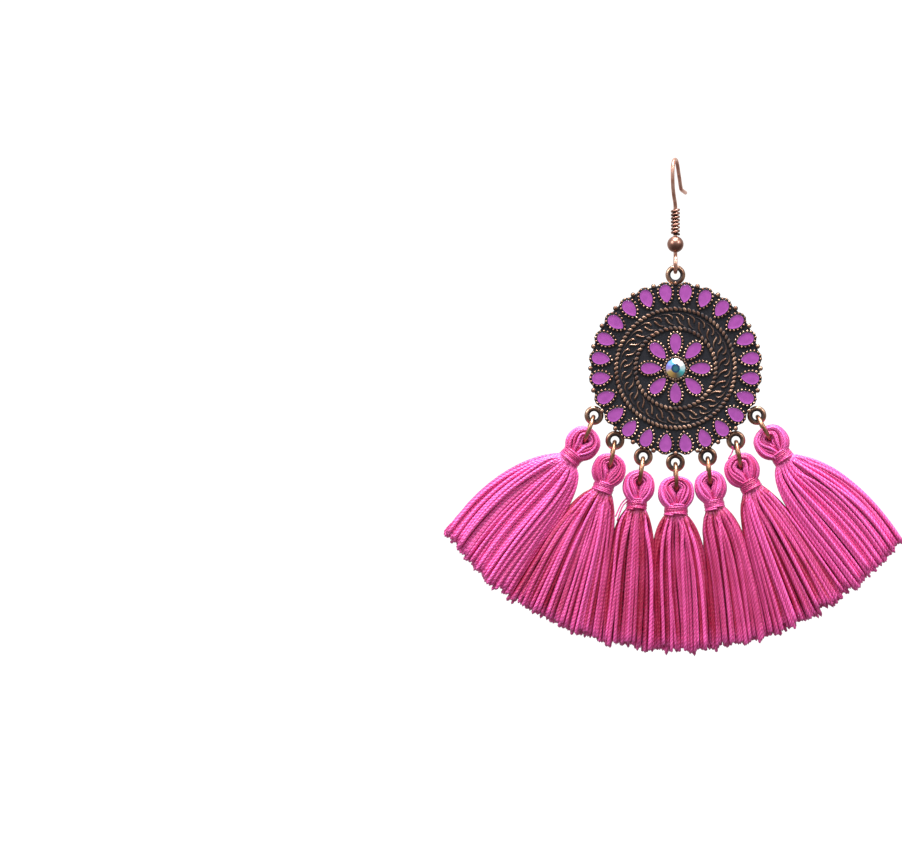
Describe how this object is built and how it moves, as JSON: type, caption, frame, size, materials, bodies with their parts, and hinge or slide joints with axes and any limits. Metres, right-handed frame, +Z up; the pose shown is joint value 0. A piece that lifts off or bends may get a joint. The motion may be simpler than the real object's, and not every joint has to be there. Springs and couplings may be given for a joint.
{
  "type": "tassel earring",
  "caption": "Drop earring: an ear wire with coil and bead holds a round cast medallion with enamel petals and a cut stone, and a fan of thread tassels on jump rings.",
  "frame": {"origin": "inside top of the ear wire's crown, where the lobe's piercing carries it, straight above the eye that the pendant hangs from", "axes": "+Z up, the front faces -Y, +X to the viewer's right"},
  "size_m": [0.0818, 0.0105, 0.0896],
  "materials": {
    "hook_metal": "bright antique copper plating",
    "cast_metal": "antique copper plating with a dark patina in the recesses",
    "ring_metal": "antique brass plating",
    "enamel": "glossy epoxy enamel",
    "stone": "cut glass with an iridescent coating",
    "thread": "two-ply sewing thread with a slight sheen",
    "binding": "wound thread"
  },
  "bodies": {
    "ear_hook": {"ear_wire": "hook_metal", "hook_coil": "hook_metal", "hook_bead": "hook_metal"},
    "pendant": {"medallion": "cast_metal", "enamel_rim": "enamel", "enamel_flower": "enamel", "centre_stone": "stone", "jump_ring_1": "ring_metal", "jump_ring_2": "ring_metal", "jump_ring_3": "ring_metal", "jump_ring_4": "ring_metal", "jump_ring_5": "ring_metal", "jump_ring_6": "ring_metal", "jump_ring_7": "ring_metal", "tassel_1": "thread", "tassel_2": "thread", "tassel_3": "thread", "tassel_4": "thread", "tassel_5": "thread", "tassel_6": "thread", "tassel_7": "thread", "tassel_wrap_1": "binding", "tassel_wrap_2": "binding", "tassel_wrap_3": "binding", "tassel_wrap_4": "binding", "tassel_wrap_5": "binding", "tassel_wrap_6": "binding", "tassel_wrap_7": "binding"}
  },
  "joints": [
    {"name": "pendant_swing", "type": "hinge", "parent": "ear_hook", "child": "pendant", "pos_m": [0, 0, -0.02021], "axis": [0, 1, 0], "range_deg": [-75, 75]}
  ]
}
